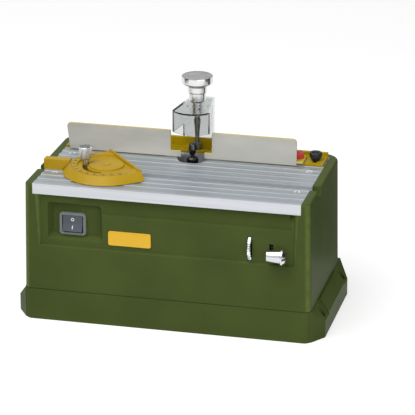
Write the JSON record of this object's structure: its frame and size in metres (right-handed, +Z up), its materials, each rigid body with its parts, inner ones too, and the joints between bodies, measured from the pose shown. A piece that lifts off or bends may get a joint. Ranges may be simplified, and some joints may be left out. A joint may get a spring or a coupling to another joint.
{
  "type": "spindle moulder",
  "caption": "Small bench spindle moulder: grooved table over a height-adjustable motor, split fence with clear cutter guard, sliding mitre gauge.",
  "frame": {"origin": "centre of the base's underside", "axes": "+X along the table's length to the operator's right, +Y away from the operator, +Z up"},
  "size_m": [0.349, 0.2088, 0.2504],
  "materials": {
    "green_plastic": "fine texture",
    "grey_plastic": "satin",
    "dark_plastic": "gloss",
    "black_plastic": "satin",
    "red_plastic": "gloss",
    "clear_plastic": "clear",
    "black_rubber": "matt",
    "yellow_label": "gloss",
    "yellow_paint": "satin",
    "table_aluminium": "extruded",
    "fence_aluminium": "anodised",
    "cast_aluminium": "cast",
    "satin_aluminium": "turned",
    "chrome_metal": "polished",
    "bright_steel": "ground",
    "zinc_steel": "plated",
    "dark_steel": "blackened",
    "cutter_steel": "ground",
    "magnet_ferrite": "raw",
    "brass_gear": "machined",
    "copper_wire": "bare",
    "board_green": "satin"
  },
  "bodies": {
    "frame": {"base": "green_plastic", "column_sockets": "green_plastic", "base_screws": "zinc_steel", "housing": "green_plastic", "left_wall": "green_plastic", "right_wall": "green_plastic", "rear_corner": "green_plastic", "gland_wall": "green_plastic", "rear_wall": "green_plastic", "front_panel": "green_plastic", "table": "table_aluminium", "table_screws": "zinc_steel", "label_plate": "yellow_label", "switch_bezel": "grey_plastic", "cable_gland": "black_rubber", "guide_columns": "bright_steel", "rectifier_board": "board_green"},
    "carriage": {"motor_carriage": "cast_aluminium", "motor_can": "zinc_steel", "motor_lid": "zinc_steel", "motor_end_cap": "black_plastic", "motor_magnets": "magnet_ferrite", "carbon_brushes": "magnet_ferrite", "brush_holders": "brass_gear", "motor_screws": "zinc_steel", "upper_bearing": "bright_steel", "lower_bearing": "bright_steel", "clamp_bolt": "zinc_steel"},
    "spindle": {"spindle_shaft": "bright_steel", "armature_core": "zinc_steel", "armature_windings": "copper_wire", "commutator": "copper_wire", "cooling_fan": "black_plastic", "collet": "dark_steel", "collet_nut": "dark_steel", "profile_cutter": "cutter_steel"},
    "thumbwheel": {"drive_pinion": "brass_gear", "pinion_shaft": "bright_steel", "height_wheel": "chrome_metal"},
    "lever": {"clamp_lever": "chrome_metal"},
    "rocker": {"switch_rocker": "dark_plastic"},
    "fence": {"fence_carrier": "yellow_paint", "guard_post": "dark_steel"},
    "left_plate": {"left_fence_plate": "fence_aluminium"},
    "right_plate": {"right_fence_plate": "fence_aluminium"},
    "left_lock": {"left_plate_lock": "red_plastic"},
    "right_lock": {"right_plate_lock": "red_plastic"},
    "left_clamp": {"left_clamp_knob": "black_plastic"},
    "right_clamp": {"right_clamp_knob": "black_plastic"},
    "hood": {"guard_hood": "clear_plastic", "guard_bush": "chrome_metal"},
    "hood_knob": {"guard_knob": "satin_aluminium"},
    "gauge_bar": {"mitre_bar": "yellow_paint", "mitre_pivot_screw": "zinc_steel"},
    "gauge_head": {"mitre_head": "yellow_paint"},
    "gauge_knob": {"mitre_clamp_knob": "chrome_metal"}
  },
  "joints": [
    {"name": "carriage_lift", "type": "slide", "parent": "frame", "child": "carriage", "axis": [0, 0, 1], "range_m": [-0.008, 0.007]},
    {"name": "thumbwheel_turn", "type": "hinge", "parent": "frame", "child": "thumbwheel", "pos_m": [0.0935, -0.076, 0.1043], "axis": [1, 0, 0], "range_deg": [-86, 76]},
    {"name": "clamp_lever_turn", "type": "hinge", "parent": "carriage", "child": "lever", "pos_m": [0.1174, -0.088, 0.1018], "axis": [0, -1, 0], "range_deg": [0, 75]},
    {"name": "spindle_turn", "type": "hinge", "parent": "carriage", "child": "spindle", "pos_m": [0, 0.036, 0.1], "axis": [0, 0, 1], "continuous": true},
    {"name": "rocker_press", "type": "hinge", "parent": "frame", "child": "rocker", "pos_m": [-0.107, -0.077, 0.1134], "axis": [1, 0, 0], "range_deg": [0, 20]},
    {"name": "fence_slide", "type": "slide", "parent": "frame", "child": "fence", "axis": [0, 1, 0], "range_m": [-0.006, 0.006]},
    {"name": "left_plate_slide", "type": "slide", "parent": "fence", "child": "left_plate", "axis": [1, 0, 0], "range_m": [-0.004, 0.004]},
    {"name": "right_plate_slide", "type": "slide", "parent": "fence", "child": "right_plate", "axis": [1, 0, 0], "range_m": [-0.004, 0.004]},
    {"name": "left_lock_turn", "type": "hinge", "parent": "fence", "child": "left_lock", "pos_m": [-0.118, 0.05, 0.165], "axis": [0, 0, 1], "range_deg": [0, 180]},
    {"name": "right_lock_turn", "type": "hinge", "parent": "fence", "child": "right_lock", "pos_m": [0.118, 0.05, 0.165], "axis": [0, 0, 1], "range_deg": [0, 180]},
    {"name": "left_clamp_turn", "type": "hinge", "parent": "frame", "child": "left_clamp", "pos_m": [-0.138, 0.052, 0.165], "axis": [0, 0, 1], "range_deg": [0, 180]},
    {"name": "right_clamp_turn", "type": "hinge", "parent": "frame", "child": "right_clamp", "pos_m": [0.138, 0.052, 0.165], "axis": [0, 0, 1], "range_deg": [0, 180]},
    {"name": "hood_slide", "type": "slide", "parent": "fence", "child": "hood", "axis": [0, 0, 1], "range_m": [0, 0.01]},
    {"name": "hood_knob_turn", "type": "hinge", "parent": "hood", "child": "hood_knob", "pos_m": [0, 0.059, 0.235], "axis": [0, 0, 1], "range_deg": [0, 360]},
    {"name": "gauge_slide", "type": "slide", "parent": "frame", "child": "gauge_bar", "axis": [1, 0, 0], "range_m": [-0.03, 0.19]},
    {"name": "gauge_head_turn", "type": "hinge", "parent": "gauge_bar", "child": "gauge_head", "pos_m": [-0.081, -0.0325, 0.162], "axis": [0, 0, 1], "range_deg": [-84.7, 5.3]},
    {"name": "gauge_knob_turn", "type": "hinge", "parent": "gauge_bar", "child": "gauge_knob", "pos_m": [-0.105, -0.0325, 0.175], "axis": [0, 0, 1], "range_deg": [0, 180]}
  ],
  "couplings": [
    {"joint": "thumbwheel_turn", "follows": "carriage_lift", "rad_per_m": 185.19}
  ]
}
